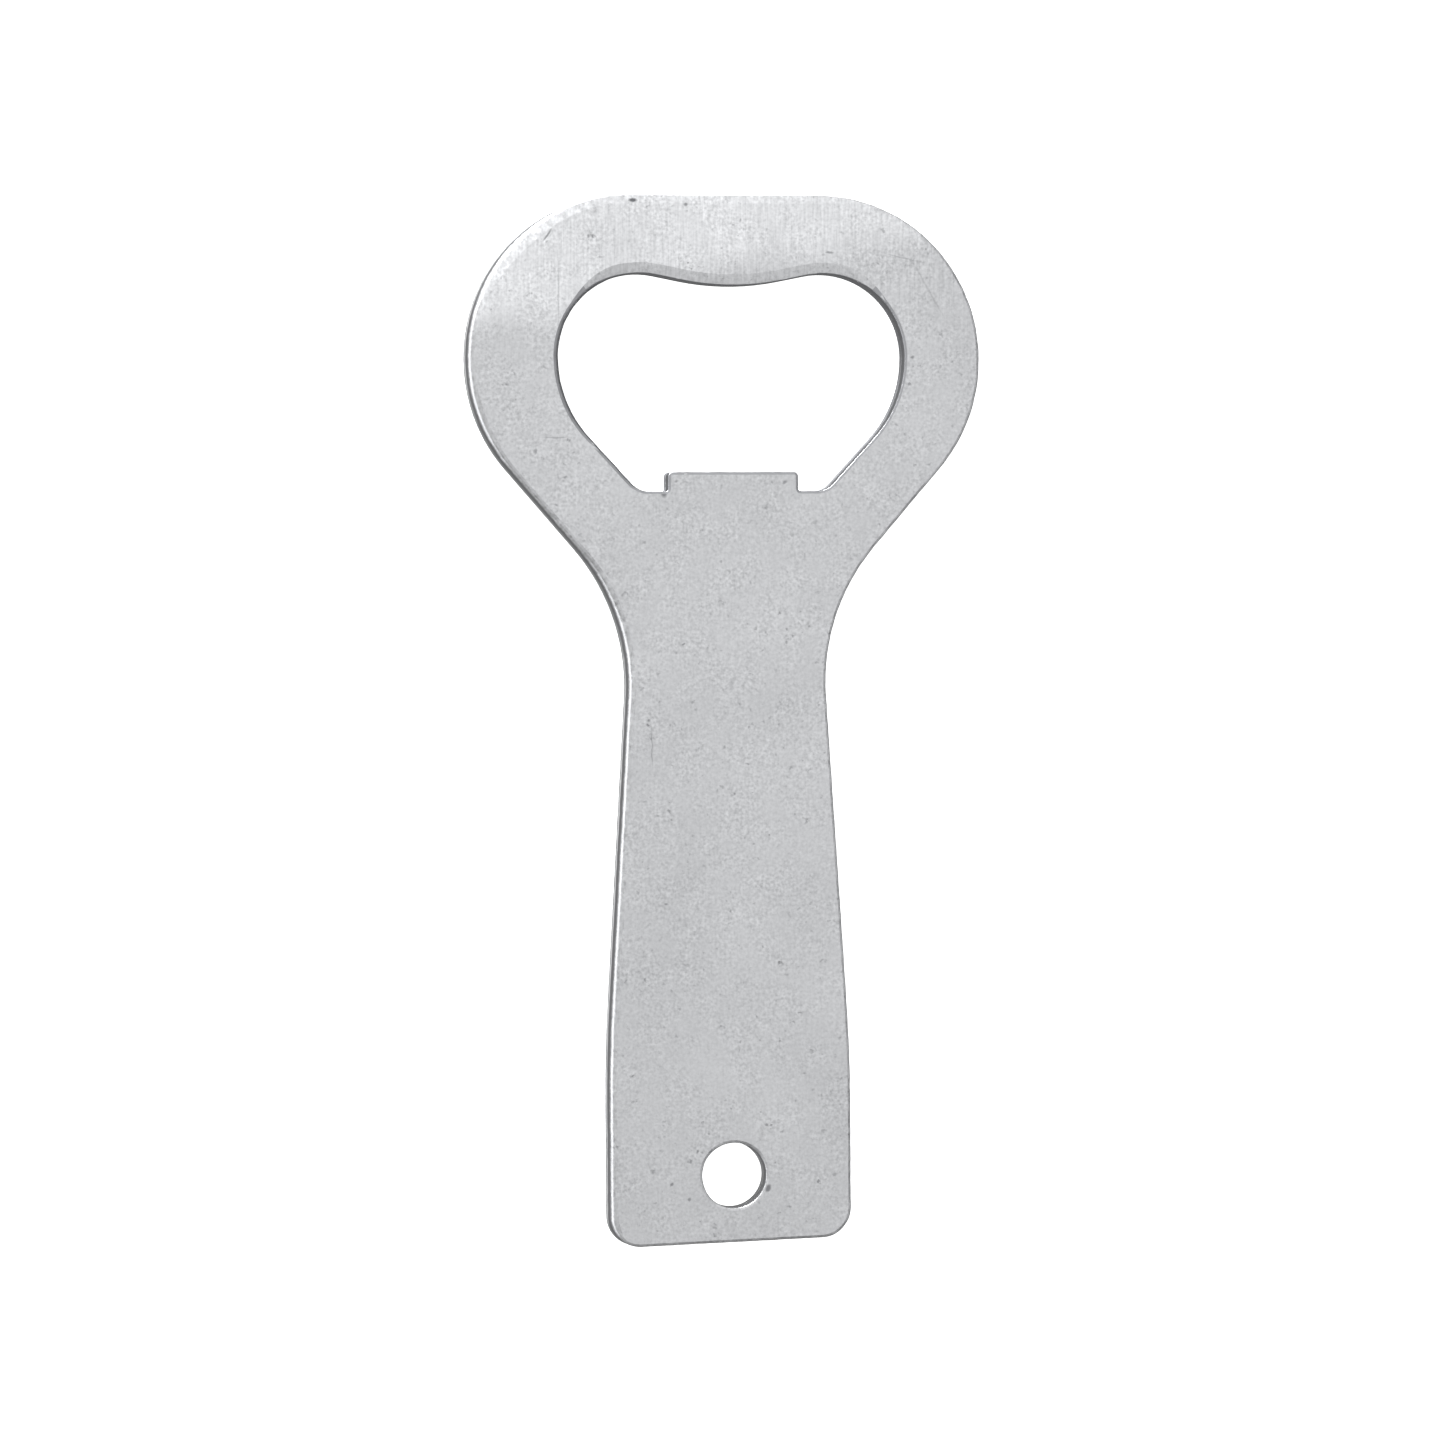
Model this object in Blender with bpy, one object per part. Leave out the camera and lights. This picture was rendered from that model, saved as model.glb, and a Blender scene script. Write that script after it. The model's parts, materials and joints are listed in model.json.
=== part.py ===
"""Flat keychain bottle opener, blanked and pierced from one piece of steel sheet.

Metres, +Z up. The opener lies on its back face: +Y runs towards the head, +X to the right
and +Z out of the front face. The origin is under the middle of the bounding box.
"""

import math

import bmesh
import bpy
from mathutils import Vector

# Blank
SHEET_THICKNESS = 0.0020
CENTRE_LENGTH = 0.0889  # top edge to end edge, along the centre line

# Head, measured down from the top edge
TOP_BAR = 0.0077  # metal above the fulcrum bump
SIDE_BAR = 0.0072  # metal beside the cap opening
SHOULDER_RADIUS = 0.0138
CHEEK_RADIUS = 0.0140  # where the sides turn in towards the neck
CHEEK_BELOW_OPENING = 0.0015  # outer turn below the opening's own turn

# Cap opening
OPENING_WIDTH = 0.0299
CAP_GAP = 0.01575  # fulcrum bump to prying tab
BUMP_RADIUS = 0.0220
LOBE_RISE = 0.0030  # lobe corners above the bump's corner
LOBE_RADIUS = 0.0071
OPENING_TURN = 0.0100  # side corner below the bump
OPENING_TURN_RADIUS = 0.0103
PIERCE_OFFSET = 0.00065  # the piercing punches sit this far right of the blank

# Prying tab and the notches beside it
TAB_WIDTH = 0.0113
TAB_HEIGHT = 0.00163
TAB_CORNER_RADIUS = 0.00040
NOTCH_WIDTH = 0.00245
NOTCH_INNER_RADIUS = 0.00020
NOTCH_OUTER_RADIUS = 0.00180

# Neck and handle
NECK_WIDTH = 0.0163  # between the corners that the neck fillets round off
NECK_BELOW_NOTCH = 0.01025
NECK_RADIUS = 0.0176
END_WIDTH = 0.0209
FLARE_END = 0.0163  # where the flare turns parallel, above the end edge
FLARE_RADIUS = 0.150
END_CORNER_RADIUS = 0.0026
END_SLANT = math.radians(1.5)  # the end edge is cut out of square by this much

# Key-ring hole
HOLE_DIAMETER = 0.0055
HOLE_MARGIN = 0.00295  # metal between the hole and the end edge
HOLE_OFFSET = 0.00035  # the hole sits this far left of the opening's centre line

# Edges: rolled over at the front, square at the back. A heading is the way from the middle of an
# outline out through its edge.
EDGE_ROLL = 0.00012
SHOULDER_WIDTH = 0.00013  # from the roll to where the face is flat
SHOULDER_DROP = 0.00001
ROLL_STEPS = 4

# Left-hand edges of the blank and of the opening are rolled over further than the rest
BLANK_ROLL = 0.00055
OPENING_ROLL = 0.00034
ROLL_HEADING = math.radians(168)
ROLL_FULL_TURN = math.radians(35)  # the roll is full as far as this to each side of its heading
ROLL_TURN_OUT = math.radians(75)  # and back to EDGE_ROLL by here

# Pressed lip: a wide, sloping shoulder along the fulcrum bump and the lobes
LIP_WIDTH = 0.00085
LIP_DROP = 0.00007
LIP_HEADING = math.radians(90)
LIP_FULL_TURN = math.radians(12)
LIP_TURN_OUT = math.radians(55)

# Crown: the top edge of the head slopes away, most of all at the left shoulder
CROWN_WIDTH = 0.00060
CROWN_DROP = 0.00010
CROWN_HEADING = math.radians(115)
CROWN_FULL_TURN = math.radians(22)
CROWN_TURN_OUT = math.radians(50)

# Fineness of the arcs
CHORD_ERROR = 0.000006
FEWEST_ARC_STEPS = 4
SAME_POINT = 0.000001
SHARP_EDGE = math.radians(35)


class Corner:
    """One corner of an outline, with the radius that rounds it."""

    def __init__(self, x, y, radius):
        self.place = Vector((x, y))
        self.radius = radius


def outline_points(corners):
    """Point and outward normal pairs along an anticlockwise outline of rounded corners."""
    count = len(corners)
    sides = [corners[(i + 1) % count].place - corners[i].place for i in range(count)]
    turns = [sides[i - 1].angle_signed(sides[i]) for i in range(count)]
    # How far each rounding reaches along its two sides, held to what the side leaves.
    reach = [c.radius * math.tan(abs(t) / 2) for c, t in zip(corners, turns)]
    share = [min(1.0, s.length / (reach[i] + reach[(i + 1) % count])) for i, s in enumerate(sides)]
    pairs = []
    for i, corner in enumerate(corners):
        held = min(share[i - 1], share[i])
        radius = corner.radius * held
        before = sides[i - 1].normalized()
        outward = Vector((before.y, -before.x))
        # Vector.angle_signed is clockwise positive, so a convex corner turns negative here.
        convex = 1 if turns[i] < 0 else -1
        centre = corner.place - before * reach[i] * held - outward * radius * convex
        step = 2 * math.acos(1 - CHORD_ERROR / radius)
        steps = max(FEWEST_ARC_STEPS, math.ceil(abs(turns[i]) / step))
        start = math.atan2(outward.y, outward.x)
        for k in range(steps + 1):
            angle = start - turns[i] * k / steps
            normal = Vector((math.cos(angle), math.sin(angle)))
            pairs.append((centre + normal * radius * convex, normal))
    return without_doubles(pairs)


def without_doubles(pairs):
    """The pairs, leaving out a point that sits on the one before it."""
    return [pair for i, pair in enumerate(pairs) if (pair[0] - pairs[i - 1][0]).length > SAME_POINT]


def mirrored(right_side):
    """A whole outline from its right-hand corners, listed bottom to top."""
    left_side = [Corner(-c.place.x, c.place.y, c.radius) for c in reversed(right_side) if c.place.x > 0]
    return right_side + left_side


def moved(pairs, offset_x):
    return [(place + Vector((offset_x, 0)), normal) for place, normal in pairs]


def heights():
    """Where the features lie along the centre line, from the middle of the end edge."""
    lobe_slope = math.atan2(LOBE_RISE, OPENING_WIDTH / 2)
    bump = CENTRE_LENGTH - TOP_BAR
    bump_corner = bump - BUMP_RADIUS * (1 / math.cos(lobe_slope) - 1)
    tab = bump - CAP_GAP
    notch = tab - TAB_HEIGHT
    turn = bump - OPENING_TURN
    return {
        "lobe": bump_corner + LOBE_RISE,
        "bump_corner": bump_corner,
        "turn": turn,
        "tab": tab,
        "notch": notch,
        "cheek": turn - CHEEK_BELOW_OPENING,
        "neck": notch - NECK_BELOW_NOTCH,
    }


def blank_outline(at):
    """Outer edge of the blank, anticlockwise from the end edge."""
    half_head = OPENING_WIDTH / 2 + SIDE_BAR
    half_end = END_WIDTH / 2
    slant = half_end * math.tan(END_SLANT)
    right = [
        Corner(half_end, slant, END_CORNER_RADIUS),
        Corner(half_end, FLARE_END, FLARE_RADIUS),
        Corner(NECK_WIDTH / 2, at["neck"], NECK_RADIUS),
        Corner(half_head, at["cheek"], CHEEK_RADIUS),
        Corner(half_head, CENTRE_LENGTH, SHOULDER_RADIUS),
    ]
    corners = mirrored(right)
    corners[-1].place.y = -slant
    return outline_points(corners)


def opening_outline(at):
    """Edge of the cap opening, with the bump above and the prying tab below."""
    half_opening = OPENING_WIDTH / 2
    half_tab = TAB_WIDTH / 2
    right = [
        Corner(half_tab, at["tab"], TAB_CORNER_RADIUS),
        Corner(half_tab, at["notch"], NOTCH_INNER_RADIUS),
        Corner(half_tab + NOTCH_WIDTH, at["notch"], NOTCH_OUTER_RADIUS),
        Corner(half_opening, at["turn"], OPENING_TURN_RADIUS),
        Corner(half_opening, at["lobe"], LOBE_RADIUS),
        Corner(0, at["bump_corner"], BUMP_RADIUS),
    ]
    return moved(outline_points(mirrored(right)), PIERCE_OFFSET)


def hole_outline():
    radius = HOLE_DIAMETER / 2
    steps = math.ceil(math.pi / math.acos(1 - CHORD_ERROR / radius))
    centre = Vector((PIERCE_OFFSET - HOLE_OFFSET, HOLE_MARGIN + radius))
    normals = [
        Vector((math.cos(2 * math.pi * k / steps), math.sin(2 * math.pi * k / steps)))
        for k in range(steps)
    ]
    return [(centre + normal * radius, normal) for normal in normals]


def nearness(normal, heading, full_turn, turn_out):
    """1 where the edge lies within full_turn of the heading, fading to 0 by turn_out."""
    turn = normal.angle(Vector((math.cos(heading), math.sin(heading))))
    rise = min(1.0, max(0.0, (turn_out - turn) / (turn_out - full_turn)))
    return rise * rise * (3 - 2 * rise)


def rolled_over(normal, full_roll):
    share = nearness(normal, ROLL_HEADING, ROLL_FULL_TURN, ROLL_TURN_OUT)
    return EDGE_ROLL + (full_roll - EDGE_ROLL) * share


def sloped(share, full_width, full_drop):
    width = SHOULDER_WIDTH + (full_width - SHOULDER_WIDTH) * share
    drop = SHOULDER_DROP + (full_drop - SHOULDER_DROP) * share
    return width, drop


def blank_edge(place, normal):
    """Radius of the roll, and width and drop of the shoulder above it, on the outer edge."""
    share = nearness(normal, CROWN_HEADING, CROWN_FULL_TURN, CROWN_TURN_OUT)
    return rolled_over(normal, BLANK_ROLL), *sloped(share, CROWN_WIDTH, CROWN_DROP)


def opening_edge(place, normal):
    """The same for the cap opening, whose roll is wide in its left half only."""
    share = nearness(normal, LIP_HEADING, LIP_FULL_TURN, LIP_TURN_OUT)
    roll = rolled_over(normal, OPENING_ROLL) if place.x < PIERCE_OFFSET else EDGE_ROLL
    return roll, *sloped(share, LIP_WIDTH, LIP_DROP)


def hole_edge(place, normal):
    return EDGE_ROLL, SHOULDER_WIDTH, SHOULDER_DROP


def edge_rings(mesh, pairs, into_metal, edge_at, shift):
    """Rings of vertices up one cut edge: square at the back, rolled over at the front."""
    quarter = [math.pi / 2 * step / ROLL_STEPS for step in range(ROLL_STEPS + 1)]
    rings = [[] for _ in range(len(quarter) + 2)]
    for place, normal in pairs:
        roll, width, drop = edge_at(place, normal)
        base = SHEET_THICKNESS - drop - roll
        rolled = [(roll * (1 - math.cos(a)), base + roll * math.sin(a)) for a in quarter]
        profile = [(0, 0), *rolled, (roll + width, SHEET_THICKNESS)]
        for ring, (inset, height) in zip(rings, profile):
            flat = place + normal * into_metal * inset - shift
            ring.append(mesh.verts.new((*flat, height)))
    return rings


def wall(mesh, rings):
    for lower, upper in zip(rings, rings[1:]):
        for i in range(len(lower)):
            mesh.faces.new((lower[i - 1], lower[i], upper[i], upper[i - 1]))


def face_between(mesh, loops):
    """Fills the flat face between the blank's loop and the loops inside it."""
    edges = [mesh.edges.get((loop[i - 1], loop[i])) for loop in loops for i in range(len(loop))]
    bmesh.ops.triangle_fill(mesh, use_beauty=True, use_dissolve=False, edges=edges)


def steel_material():
    """Bare steel sheet, tumbled to a satin grey."""
    material = bpy.data.materials.new("tumbled_steel")
    material.use_nodes = True
    shader = material.node_tree.nodes["Principled BSDF"]
    shader.inputs["Base Color"].default_value = (0.60, 0.61, 0.62, 1)
    shader.inputs["Metallic"].default_value = 1.0
    shader.inputs["Roughness"].default_value = 0.42
    return material


def opener_plate():
    at = heights()
    blank = blank_outline(at)
    middle_y = (max(p.y for p, _ in blank) + min(p.y for p, _ in blank)) / 2
    shift = Vector((0, middle_y))
    mesh = bmesh.new()
    edges = [
        edge_rings(mesh, blank, -1, blank_edge, shift),
        edge_rings(mesh, opening_outline(at), 1, opening_edge, shift),
        edge_rings(mesh, hole_outline(), 1, hole_edge, shift),
    ]
    for rings in edges:
        wall(mesh, rings)
    face_between(mesh, [rings[0] for rings in edges])
    face_between(mesh, [rings[-1] for rings in edges])
    bmesh.ops.recalc_face_normals(mesh, faces=mesh.faces)
    data = bpy.data.meshes.new("opener_plate")
    mesh.to_mesh(data)
    mesh.free()
    data.shade_smooth()
    data.set_sharp_from_angle(angle=SHARP_EDGE)
    data.materials.append(steel_material())
    plate = bpy.data.objects.new("opener_plate", data)
    bpy.context.scene.collection.objects.link(plate)


for leftover in list(bpy.data.objects):
    bpy.data.objects.remove(leftover)
opener_plate()
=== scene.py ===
"""Looks of a flat keychain bottle opener, stamped from one piece of steel sheet.

Metres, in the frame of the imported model: +Y towards the head, +Z out of the front face.
"""

import json
import math

import bmesh
import bpy
from mathutils import Matrix, Vector


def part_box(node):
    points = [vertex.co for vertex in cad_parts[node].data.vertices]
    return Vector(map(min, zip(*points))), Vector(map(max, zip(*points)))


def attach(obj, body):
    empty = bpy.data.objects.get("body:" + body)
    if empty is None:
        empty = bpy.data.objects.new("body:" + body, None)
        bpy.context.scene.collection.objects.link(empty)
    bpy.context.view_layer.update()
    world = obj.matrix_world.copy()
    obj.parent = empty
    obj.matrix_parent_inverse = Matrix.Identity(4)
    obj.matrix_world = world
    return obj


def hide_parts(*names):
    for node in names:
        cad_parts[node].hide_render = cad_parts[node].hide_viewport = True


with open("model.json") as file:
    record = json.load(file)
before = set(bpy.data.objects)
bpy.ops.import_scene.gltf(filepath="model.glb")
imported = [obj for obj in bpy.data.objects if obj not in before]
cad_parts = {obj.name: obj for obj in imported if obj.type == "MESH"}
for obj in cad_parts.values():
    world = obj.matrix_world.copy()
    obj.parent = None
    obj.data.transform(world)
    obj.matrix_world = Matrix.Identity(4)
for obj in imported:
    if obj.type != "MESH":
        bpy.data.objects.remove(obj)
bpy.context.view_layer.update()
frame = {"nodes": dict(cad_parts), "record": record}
MM = 0.001
LOW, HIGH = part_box("opener_plate")
THICKNESS = HIGH.z - LOW.z

# Camera, from the middle of the front face
CAMERA_YAW = math.radians(11.402)  # seen from the left
CAMERA_PITCH = math.radians(0.831)
CAMERA_ROLL = math.radians(0.4165)
CAMERA_DISTANCE = 570 * MM
CAMERA_RIGHT = -0.4425 * MM
CAMERA_UP = -0.27 * MM
CAMERA_LENS = 167.4
SENSOR = 36

# Studio
ROOM_LIGHT = 0.24
PAPER_ROUGHNESS = 0.9

# Fineness of the finished plate
SAME_POINT = 0.002 * MM
EDGE_STEP = 0.25 * MM
WALL_CUTS = 10
SMOOTH_UNDER = math.radians(40)

# Cut edge
FRACTURE_TOP = 0.35 * THICKNESS
RIDGE_WIDTH = 0.16 * MM
TUMBLE_SIZE = 0.9 * MM
TUMBLE_DEPTH = 0.06 * MM
TEAR_SIZE = 0.4 * MM
TEAR_DEPTH = 0.10 * MM
INWARDS = 0.9  # dents go nearly all inwards, so the plate keeps its size
OPENING_REACH = 2.5 * MM
LIP_NORMAL = 0.99  # the lip slopes so little that its normal is nearly upright

# Face of the sheet
PEEL_SIZE = 0.26 * MM
PEEL_DEPTH = 0.010 * MM
PATCH_SIZE = 2.5 * MM
CLOUD_SIZE = 9 * MM
GRAIN_WIDTH = 0.18 * MM
SPECK_SIZE = 0.55 * MM
MARK_DRIFT = 0.25 * MM
PEEL_LEAST, PEEL_MOST = 0.7, 1.6
GRAIN_LEAST, GRAIN_MOST = 0.15, 0.6
CLOUD_STRENGTH = 0.25
SATIN_LEAST, SATIN_MOST = 0.37, 0.47  # roughness
SHEARED_ROUGHNESS, TORN_ROUGHNESS = 0.40, 0.75
SPECK_FROM, SPECK_FULL = 0.63, 0.78  # of the noise
SPECK_DARKNESS = 0.45
PIT_DEPTH = 1.5  # of the height of the peel
MARK_CORE, MARK_END = 0.5, 1.1  # full inside the core, gone at the end, of a mark's half size

# Grain seen in the painted highlight, and the painted highlight itself, by their distance from the top of the
# head
GRAIN_FROM, GRAIN_FULL = 14 * MM, 6 * MM
HIGHLIGHT_END, HIGHLIGHT_FULL = 8.4 * MM, 4.8 * MM
HIGHLIGHT_SLANT = 0.20  # the painted highlight reaches further down on the left
HIGHLIGHT_RAGGED = 5 * MM


# Wear marks on the front: middle, length, width (mm), turn (degrees) and darkness
NICKS = [
    (-7.84, 44.07, 0.8, 0.40, 0, 1.0),
    (5.10, 20.20, 0.5, 0.30, 40, 0.6),
    (-5.36, 19.30, 0.9, 0.60, 80, 0.8),
    (3.20, -39.80, 0.8, 0.50, 60, 0.8),
    (-17.30, 12.35, 0.5, 0.25, 20, 0.5),
]
SPECKS = [
    (-3.30, 43.70, 0.4, 0.35, 0, 0.7),
    (-5.10, -39.30, 0.4, 0.35, 0, 0.7),
    (-3.60, -40.60, 0.35, 0.35, 0, 0.6),
    (3.15, -34.40, 0.35, 0.3, 0, 0.6),
    (16.30, 30.80, 0.4, 0.3, 0, 0.6),
    (16.00, 28.50, 0.35, 0.3, 0, 0.6),
]
SCRATCHES = [
    (-15.20, 41.10, 1.3, 0.22, 55, 0.7),
    (9.10, 39.70, 0.7, 0.20, 0, 0.6),
    (15.80, 39.20, 4.6, 0.14, -13, 0.30),
    (-6.55, -2.20, 3.8, 0.14, 90, 0.40),
    (-14.30, 36.50, 7.0, 0.14, 90, 0.25),
    (-14.70, 24.00, 2.6, 0.14, 0, 0.35),
    (17.70, 36.60, 6.6, 0.20, -60, 0.22),
]


def linear(colour):
    """An sRGB hex colour as linear red, green, blue and alpha."""
    channels = [int(colour[i:i + 2], 16) / 255 for i in (1, 3, 5)]
    return [c / 12.92 if c <= 0.04045 else ((c + 0.055) / 1.055) ** 2.4 for c in channels] + [1]


def add(material, kind, settings=None, links=None):
    """A node of this kind, with its settings, and its inputs linked from other nodes' outputs."""
    tree = material.node_tree
    node = tree.nodes.new(kind)
    for name, value in (settings or {}).items():
        if isinstance(name, int) or name in node.inputs:
            node.inputs[name].default_value = value
        else:
            setattr(node, name, value)
    for name, output in (links or {}).items():
        tree.links.new(output, node.inputs[name])
    return node


def new_material(name):
    material = bpy.data.materials.new(name)
    material.use_nodes = True
    material.node_tree.nodes.clear()
    return material


# ---------------------------------------------------------------- the plate


def choose(piece):
    bpy.ops.object.select_all(action="DESELECT")
    bpy.context.view_layer.objects.active = piece
    piece.select_set(True)


def edit(piece):
    choose(piece)
    bpy.ops.object.mode_set(mode="EDIT")


def finish_edit():
    bpy.ops.object.mode_set(mode="OBJECT")


def pick(piece, kind, wanted):
    """Selects the faces, or the edges, that a test picks."""
    bpy.ops.mesh.select_mode(type=kind)
    bpy.ops.mesh.select_all(action="DESELECT")
    mesh = bmesh.from_edit_mesh(piece.data)
    for item in filter(wanted, mesh.faces if kind == "FACE" else mesh.edges):
        item.select_set(True)
    bmesh.update_edit_mesh(piece.data)


def is_flat(face):
    """Whether a face lies in the flat front or the flat back."""
    heights = [v.co.z for v in face.verts]
    return max(heights) < SAME_POINT or min(heights) > THICKNESS - SAME_POINT


def rung(edge):
    """The edges that lie one above the other, from an edge of the back up to the front."""
    found = []
    faces = list(edge.link_faces)
    while edge:
        found.append(edge)
        ends = set(edge.verts)
        face = faces[0] if faces else None
        edge = next((e for e in face.edges if not ends & set(e.verts)), None) if face else None
        faces = [f for f in edge.link_faces if f != face] if edge else []
    return found


def split_rungs(plate):
    """Splits the edges that run round the outlines until none is much longer than EDGE_STEP."""
    while True:
        mesh = bmesh.from_edit_mesh(plate.data)
        cuts = {
            edge: round(edge.calc_length() / EDGE_STEP) - 1
            for edge in mesh.edges
            if edge.is_boundary and edge.verts[0].co.z < SAME_POINT
        }
        most = max(cuts.values())
        if most < 1:
            return
        bpy.ops.mesh.select_mode(type="EDGE")
        bpy.ops.mesh.select_all(action="DESELECT")
        for edge in [edge for edge, count in cuts.items() if count == most]:
            for above in rung(edge):
                above.select_set(True)
        bmesh.update_edit_mesh(plate.data)
        bpy.ops.mesh.subdivide(number_cuts=most)


def finer_plate():
    """The stamped plate, with its cut edge split finely enough to show the shear and the tumbling."""
    plate = bpy.data.objects.new("stamped_plate", frame["nodes"]["opener_plate"].data.copy())
    bpy.context.scene.collection.objects.link(plate)
    edit(plate)
    bpy.ops.mesh.customdata_custom_splitnormals_clear()
    bpy.ops.mesh.select_all(action="SELECT")
    bpy.ops.mesh.remove_doubles(threshold=SAME_POINT)
    pick(plate, "FACE", is_flat)
    bpy.ops.mesh.delete(type="FACE")
    bpy.ops.mesh.select_all(action="SELECT")
    bpy.ops.mesh.tris_convert_to_quads(face_threshold=math.pi, shape_threshold=math.pi)
    split_rungs(plate)
    pick(plate, "EDGE", lambda e: abs(e.verts[0].co.z - e.verts[1].co.z) > THICKNESS / 2)
    bpy.ops.mesh.subdivide(number_cuts=WALL_CUTS)
    for low in (True, False):
        pick(plate, "EDGE", lambda e: e.is_boundary and (e.verts[0].co.z < THICKNESS / 2) == low)
        bpy.ops.mesh.fill(use_beauty=True)
    bpy.ops.mesh.select_all(action="SELECT")
    bpy.ops.mesh.normals_make_consistent(inside=False)
    finish_edit()
    return plate


def noise_texture(name, size):
    texture = bpy.data.textures.new(name, "CLOUDS")
    texture.noise_scale = size
    texture.noise_depth = 2
    return texture


def group(piece, name, share):
    """A vertex group whose weights come from each vertex's place."""
    made = piece.vertex_groups.new(name=name)
    for vertex in piece.data.vertices:
        weight = share(vertex.co)
        if weight > 0:
            made.add([vertex.index], weight, "REPLACE")
    return made


def modify(piece, kind, **settings):
    """Adds a modifier and applies it."""
    modifier = piece.modifiers.new(kind.lower(), kind)
    for name, value in settings.items():
        setattr(modifier, name, value)
    bpy.ops.object.modifier_apply(modifier=modifier.name)


def on_cut_edge(place):
    """1 on the cut and rolled edge, 0 on the flat front and back."""
    return float(SAME_POINT < place.z < THICKNESS - SAME_POINT)


def on_fracture(place):
    """1 low on the cut edge, where the sheet broke instead of being sheared."""
    return float(SAME_POINT < place.z < FRACTURE_TOP)


def roughen_edges(plate):
    """Gives the cut edge its torn lower part and the small dents of tumbling."""
    choose(plate)
    group(plate, "cut_edge", on_cut_edge)
    group(plate, "fracture", on_fracture)
    tumbled = noise_texture("tumbled_edge", TUMBLE_SIZE)
    torn = noise_texture("torn_edge", TEAR_SIZE)
    for texture, where, depth in ((tumbled, "cut_edge", TUMBLE_DEPTH), (torn, "fracture", TEAR_DEPTH)):
        modify(plate, "DISPLACE", texture=texture, vertex_group=where, strength=depth, mid_level=INWARDS)


def by_the_opening(place, boxes):
    """Whether a place lies in or beside one of the boxes that state the cap opening."""
    low = [min(box[0][k] for box in boxes) - OPENING_REACH for k in (0, 1)]
    high = [max(box[1][k] for box in boxes) + OPENING_REACH for k in (0, 1)]
    return low[0] < place.x < high[0] and low[1] < place.y < high[1]


def mark_opening(plate):
    """Two attributes: one is 1 on the sloping lip of the opening, one is 1 on its rolled and cut edge.

    The painted highlight on the top of the head stops at the lip, and the rolled and cut edge of the opening
    is painted darker, as painted shade.
    """
    boxes = [opening["box_m"] for opening in frame["record"]["physics"]["openings"]]
    lip = plate.data.attributes.new("lip", "FLOAT", "FACE")
    # 1 where painted shade darkens the rolled and cut edge of the opening
    opening_shade = plate.data.attributes.new("opening_shade", "FLOAT", "FACE")
    for face in plate.data.polygons:
        on_edge = SAME_POINT < face.center.z < THICKNESS - SAME_POINT
        in_opening = by_the_opening(face.center, boxes)
        sloping = face.normal.z > LIP_NORMAL
        lip.data[face.index].value = float(on_edge and in_opening and sloping)
        opening_shade.data[face.index].value = float(on_edge and in_opening and not sloping)


def shade(plate):
    """Smooth over the rolled edge, with a crisp line where the edge meets the flat face."""
    bpy.ops.object.shade_smooth_by_angle(angle=SMOOTH_UNDER)
    edit(plate)
    pick(plate, "EDGE", lambda e: sum(is_flat(face) for face in e.link_faces) == 1)
    bpy.ops.mesh.mark_sharp()
    finish_edit()
    modify(plate, "WEIGHTED_NORMAL", keep_sharp=True, weight=100)


# ---------------------------------------------------------------- the steel


def marks(steel, place):
    """How deep the nicks, specks and scratches of the front go at each place, from 0 to 1."""
    drift = add(
        steel, "ShaderNodeTexNoise", {"Scale": 1 / SPECK_SIZE, "Detail": 2}, {"Vector": place}
    ).outputs["Color"]
    uneven = add(
        steel,
        "ShaderNodeVectorMath",
        {"operation": "MULTIPLY_ADD", 1: [MARK_DRIFT] * 3},
        {0: drift, 2: place},
    ).outputs[0]
    worn = None
    for x, y, length, width, turn, darkness in NICKS + SPECKS + SCRATCHES:
        middle = (x * MM + MARK_DRIFT / 2, y * MM + MARK_DRIFT / 2, THICKNESS + MARK_DRIFT / 2)
        from_middle = add(
            steel,
            "ShaderNodeMapping",
            {
                "vector_type": "TEXTURE",
                "Location": middle,
                "Rotation": (0, 0, math.radians(turn)),
                "Scale": (length * MM / 2, width * MM / 2, THICKNESS / 2),
            },
            {"Vector": uneven},
        ).outputs["Vector"]
        away = add(steel, "ShaderNodeVectorMath", {"operation": "LENGTH"}, {0: from_middle}).outputs["Value"]
        mark = add(
            steel, "ShaderNodeMapRange", {1: MARK_CORE, 2: MARK_END, 3: darkness, 4: 0.0}, {"Value": away}
        ).outputs[0]
        deepest = {0: mark, 1: worn} if worn else {0: mark}
        worn = add(steel, "ShaderNodeMath", {"operation": "MAXIMUM", 1: 0.0}, deepest).outputs[0]
    return worn


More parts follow.
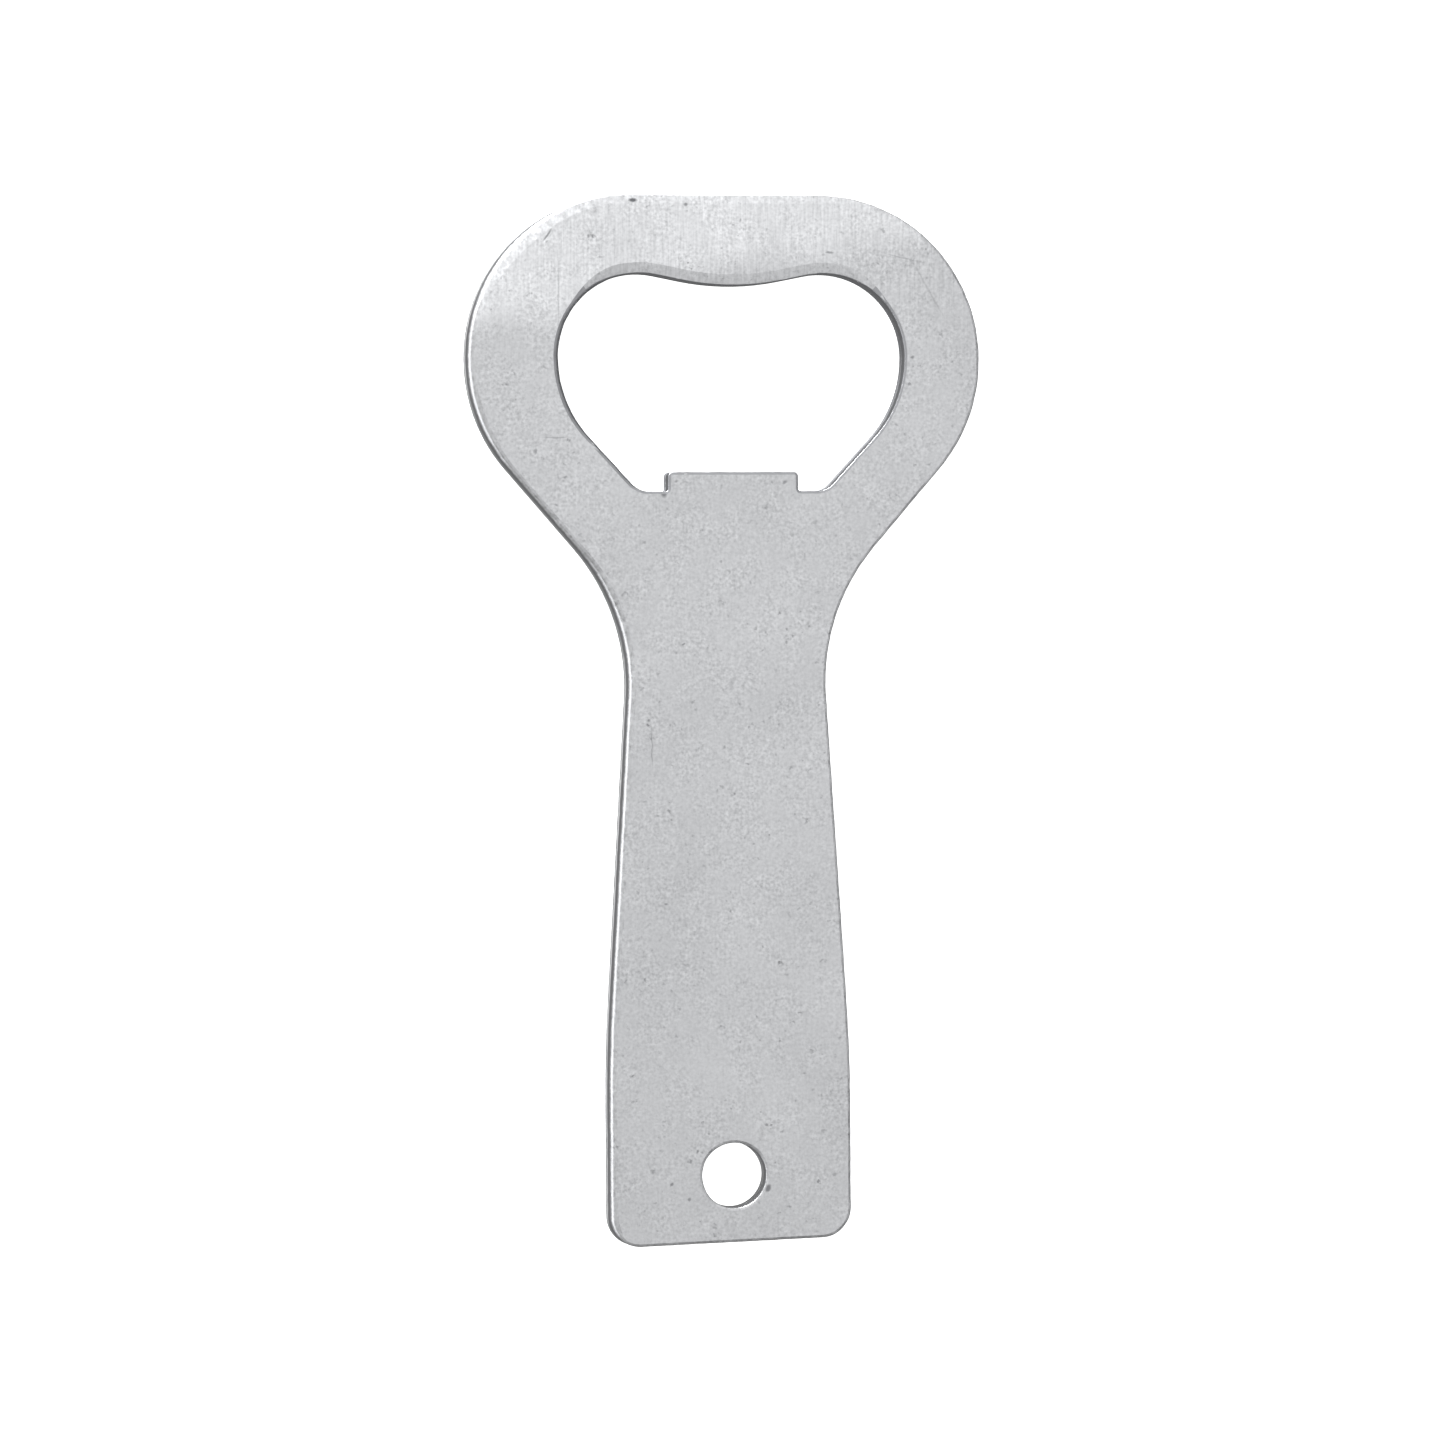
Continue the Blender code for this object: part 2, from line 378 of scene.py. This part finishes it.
def tumbled_steel():
    """Mild steel sheet, stamped, then tumbled in a drum of ceramic chips.

    The face is an even satin grey with a fine orange peel and small dark specks. The top of the
    head has a painted highlight, a lighter copy of the grey, down to the pressed lip, and the cut walls stay
    darker.
    """
    steel = new_material("tumbled_steel")
    place = add(steel, "ShaderNodeTexCoord").outputs["Object"]
    axes = add(steel, "ShaderNodeSeparateXYZ", links={0: place}).outputs
    normal = add(steel, "ShaderNodeNewGeometry").outputs["Normal"]
    facing = add(steel, "ShaderNodeSeparateXYZ", links={0: normal}).outputs["Z"]
    up = add(steel, "ShaderNodeMath", {"operation": "ABSOLUTE"}, {0: facing}).outputs[0]

    # Orange peel, stronger in some patches than in others, and broad clouds under it
    peel = add(
        steel, "ShaderNodeTexNoise", {"Scale": 1 / PEEL_SIZE, "Detail": 2}, {"Vector": place}
    ).outputs["Fac"]
    patch = add(
        steel, "ShaderNodeTexNoise", {"Scale": 1 / PATCH_SIZE, "Detail": 2}, {"Vector": place}
    ).outputs["Fac"]
    strength = add(
        steel, "ShaderNodeMapRange", {1: 0.35, 2: 0.65, 3: PEEL_LEAST, 4: PEEL_MOST}, {"Value": patch}
    ).outputs[0]
    cloud = add(
        steel, "ShaderNodeTexNoise", {"Scale": 1 / CLOUD_SIZE, "Detail": 1}, {"Vector": place}
    ).outputs["Fac"]
    centred_cloud = add(steel, "ShaderNodeMath", {"operation": "SUBTRACT", 1: 0.5}, {0: cloud}).outputs[0]
    centred_peel = add(steel, "ShaderNodeMath", {"operation": "SUBTRACT", 1: 0.5}, {0: peel}).outputs[0]
    peeled = add(
        steel, "ShaderNodeMath", {"operation": "MULTIPLY"}, {0: centred_peel, 1: strength}
    ).outputs[0]

    # Rolling grain along the sheet: real grain, painted strongest in the head, where it shows in the painted
    # highlight
    along = add(steel, "ShaderNodeMapping", {"Scale": (1, 0.06, 1)}, {"Vector": place}).outputs["Vector"]
    grain = add(
        steel, "ShaderNodeTexNoise", {"Scale": 1 / GRAIN_WIDTH, "Detail": 1}, {"Vector": along}
    ).outputs["Fac"]
    centred_grain = add(steel, "ShaderNodeMath", {"operation": "SUBTRACT", 1: 0.5}, {0: grain}).outputs[0]
    head = add(
        steel,
        "ShaderNodeMapRange",
        {1: HIGH.y - GRAIN_FROM, 2: HIGH.y - GRAIN_FULL, 3: GRAIN_LEAST, 4: GRAIN_MOST},
        {"Value": axes["Y"]},
    ).outputs[0]
    tone = add(
        steel, "ShaderNodeMath", {"operation": "MULTIPLY_ADD"}, {0: centred_grain, 1: head, 2: peeled}
    ).outputs[0]
    tone = add(
        steel, "ShaderNodeMath", {"operation": "MULTIPLY_ADD", 1: CLOUD_STRENGTH}, {0: centred_cloud, 2: tone}
    ).outputs[0]
    tone = add(steel, "ShaderNodeMath", {"operation": "ADD", 1: 0.5}, {0: tone}).outputs[0]
    dull = add(
        steel, "ShaderNodeMix", {"data_type": "RGBA", 6: linear("#A2A3A5"), 7: linear("#DEDFE1")}, {0: tone}
    ).outputs[2]
    # Painted highlight: the same steel grey, lighter, used on the top of the head
    highlit_grey = add(
        steel, "ShaderNodeMix", {"data_type": "RGBA", 6: linear("#B5B6B8"), 7: linear("#F5F6F8")}, {0: tone}
    ).outputs[2]

    # Painted highlight on the top of the head: a lighter copy of the grey that fades out down the head and
    # stops short at the pressed lip
    slanted = add(
        steel, "ShaderNodeMath", {"operation": "MULTIPLY_ADD", 1: -HIGHLIGHT_SLANT}, {0: axes["X"], 2: axes["Y"]}
    ).outputs[0]
    ragged = add(
        steel,
        "ShaderNodeMath",
        {"operation": "MULTIPLY_ADD", 1: HIGHLIGHT_RAGGED},
        {0: centred_cloud, 2: slanted},
    ).outputs[0]
    painted_highlight = add(
        steel,
        "ShaderNodeMapRange",
        {"interpolation_type": "SMOOTHSTEP", 1: HIGH.y - HIGHLIGHT_END, 2: HIGH.y - HIGHLIGHT_FULL},
        {"Value": ragged},
    ).outputs[0]
    lip = add(steel, "ShaderNodeAttribute", {"attribute_name": "lip"}).outputs["Fac"]
    off_the_lip = add(
        steel, "ShaderNodeMapRange", {1: 0.0, 2: 1.0, 3: 1.0, 4: 0.0}, {"Value": lip}
    ).outputs[0]
    painted_highlight = add(steel, "ShaderNodeMath", {"operation": "MULTIPLY"}, {0: painted_highlight, 1: off_the_lip}).outputs[0]
    front = add(
        steel, "ShaderNodeMapRange", {1: THICKNESS * 0.4, 2: THICKNESS * 0.6}, {"Value": axes["Z"]}
    ).outputs[0]
    painted_highlight = add(steel, "ShaderNodeMath", {"operation": "MULTIPLY"}, {0: painted_highlight, 1: front}).outputs[0]
    face = add(steel, "ShaderNodeMix", {"data_type": "RGBA"}, {0: painted_highlight, 6: dull, 7: highlit_grey}).outputs[2]

    # Soft dark specks of uneven shape, few and in groups
    speck = add(
        steel, "ShaderNodeTexNoise", {"Scale": 1 / SPECK_SIZE, "Detail": 3}, {"Vector": place}
    ).outputs["Fac"]
    speck = add(
        steel,
        "ShaderNodeMapRange",
        {"interpolation_type": "SMOOTHSTEP", 1: SPECK_FROM, 2: SPECK_FULL},
        {"Value": speck},
    ).outputs[0]
    speck = add(steel, "ShaderNodeMath", {"operation": "MULTIPLY"}, {0: speck, 1: strength}).outputs[0]
    worn = marks(steel, place)
    pit = add(
        steel,
        "ShaderNodeMath",
        {"operation": "MULTIPLY_ADD", 1: SPECK_DARKNESS, "use_clamp": True},
        {0: speck, 2: worn},
    ).outputs[0]
    face = add(
        steel, "ShaderNodeMix", {"data_type": "RGBA", 7: linear("#6E6F72")}, {0: pit, 6: face}
    ).outputs[2]

    # Cut wall: rough fracture below, sheared band above
    wall = add(steel, "ShaderNodeMapRange", {1: 0.15, 2: 0.5, 3: 1.0, 4: 0.0}, {"Value": up}).outputs[0]
    fracture = add(
        steel,
        "ShaderNodeMapRange",
        {1: FRACTURE_TOP - RIDGE_WIDTH / 2, 2: FRACTURE_TOP + RIDGE_WIDTH, 3: 1.0, 4: 0.0},
        {"Value": axes["Z"]},
    ).outputs[0]
    cut = add(
        steel,
        "ShaderNodeMix",
        {"data_type": "RGBA", 6: linear("#ACADB0"), 7: linear("#C9CACB")},
        {0: fracture},
    ).outputs[2]
    colour = add(steel, "ShaderNodeMix", {"data_type": "RGBA"}, {0: wall, 6: face, 7: cut}).outputs[2]
    # Painted shade: the rolled and cut edge of the opening is painted darker
    opening_shade = add(steel, "ShaderNodeAttribute", {"attribute_name": "opening_shade"}).outputs["Fac"]
    colour = add(
        steel, "ShaderNodeMix", {"data_type": "RGBA", 7: linear("#A0A1A4")}, {0: opening_shade, 6: colour}
    ).outputs[2]

    satin = add(
        steel, "ShaderNodeMapRange", {1: 0.3, 2: 0.7, 3: SATIN_LEAST, 4: SATIN_MOST}, {"Value": peel}
    ).outputs[0]
    torn = add(
        steel,
        "ShaderNodeMapRange",
        {1: 0.0, 2: 1.0, 3: SHEARED_ROUGHNESS, 4: TORN_ROUGHNESS},
        {"Value": fracture},
    ).outputs[0]
    rough = add(steel, "ShaderNodeMix", {"data_type": "FLOAT"}, {0: wall, 2: satin, 3: torn}).outputs[0]
    height = add(
        steel, "ShaderNodeMath", {"operation": "MULTIPLY_ADD", 1: -PIT_DEPTH}, {0: pit, 2: peel}
    ).outputs[0]
    bump = add(
        steel, "ShaderNodeBump", {"Strength": 1.0, "Distance": PEEL_DEPTH}, {"Height": height}
    ).outputs[0]
    shader = add(
        steel,
        "ShaderNodeBsdfPrincipled",
        {"Metallic": 1.0},
        {"Base Color": colour, "Roughness": rough, "Normal": bump},
    ).outputs["BSDF"]
    add(steel, "ShaderNodeOutputMaterial", links={"Surface": shader})
    return steel


# ---------------------------------------------------------------- the studio


def camera():
    """The camera, high over the plate and a little to its left."""
    turn = Matrix.Rotation(CAMERA_ROLL, 3, "Z") @ Matrix.Rotation(CAMERA_PITCH, 3, "X")
    turn = (turn @ Matrix.Rotation(CAMERA_YAW, 3, "Y")).transposed()
    middle = Vector(((LOW.x + HIGH.x) / 2, (LOW.y + HIGH.y) / 2 + 0.1 * MM, HIGH.z))
    data = bpy.data.cameras.new("camera")
    data.lens = CAMERA_LENS
    data.sensor_width = SENSOR
    seen_from = bpy.data.objects.new("camera", data)
    seen_from.matrix_world = Matrix.Translation(
        middle + turn @ Vector((CAMERA_RIGHT, CAMERA_UP, CAMERA_DISTANCE))
    ) @ turn.to_4x4()
    bpy.context.scene.collection.objects.link(seen_from)
    bpy.context.scene.camera = seen_from


def softbox(name, place, aim, width, height, radiance):
    """A soft rectangular lamp at a place, facing its aim."""
    data = bpy.data.lights.new(name, "AREA")
    data.shape = "RECTANGLE"
    data.size = width
    data.size_y = height
    data.energy = radiance * math.pi * width * height
    lamp = bpy.data.objects.new(name, data)
    lamp.location = place
    lamp.rotation_euler = (Vector(aim) - Vector(place)).to_track_quat("-Z", "Y").to_euler()
    bpy.context.scene.collection.objects.link(lamp)


def studio():
    scene = bpy.context.scene
    scene.view_settings.view_transform = "Standard"
    world = bpy.data.worlds.new("studio")
    world.use_nodes = True
    world.node_tree.nodes["Background"].inputs["Color"].default_value = linear("#FFFFFF")
    world.node_tree.nodes["Background"].inputs["Strength"].default_value = ROOM_LIGHT
    scene.world = world
    softbox("overhead", (0.15, 0.22, 0.80), (0.15, 0.22, 0), 1.0, 1.1, 0.93)
    softbox("left", (-0.70, 0, 0.30), (0, 0, 0), 1.0, 0.5, 2.6)
    softbox("low", (-0.25, 0.60, 0.12), (0, 0, 0), 0.2, 0.15, 120)


def floor():
    bpy.ops.object.select_all(action="DESELECT")
    bpy.ops.mesh.primitive_plane_add(size=4, location=(0, 0, LOW.z - 0.02 * MM))
    sheet = bpy.context.object
    sheet.name = "floor"
    material = new_material("white_paper")
    shader = add(
        material,
        "ShaderNodeBsdfPrincipled",
        {
            "Base Color": linear("#F4F4F4"),
            "Roughness": PAPER_ROUGHNESS,
            "Emission Color": linear("#FFFFFF"),
            "Emission Strength": 0.95,
        },
    )
    add(material, "ShaderNodeOutputMaterial", links={"Surface": shader.outputs["BSDF"]})
    sheet.data.materials.append(material)
    sheet.visible_glossy = False


camera()
studio()
floor()

plate = finer_plate()
roughen_edges(plate)
mark_opening(plate)
shade(plate)
plate.data.materials.clear()
plate.data.materials.append(tumbled_steel())
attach(plate, "root")
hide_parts("opener_plate")
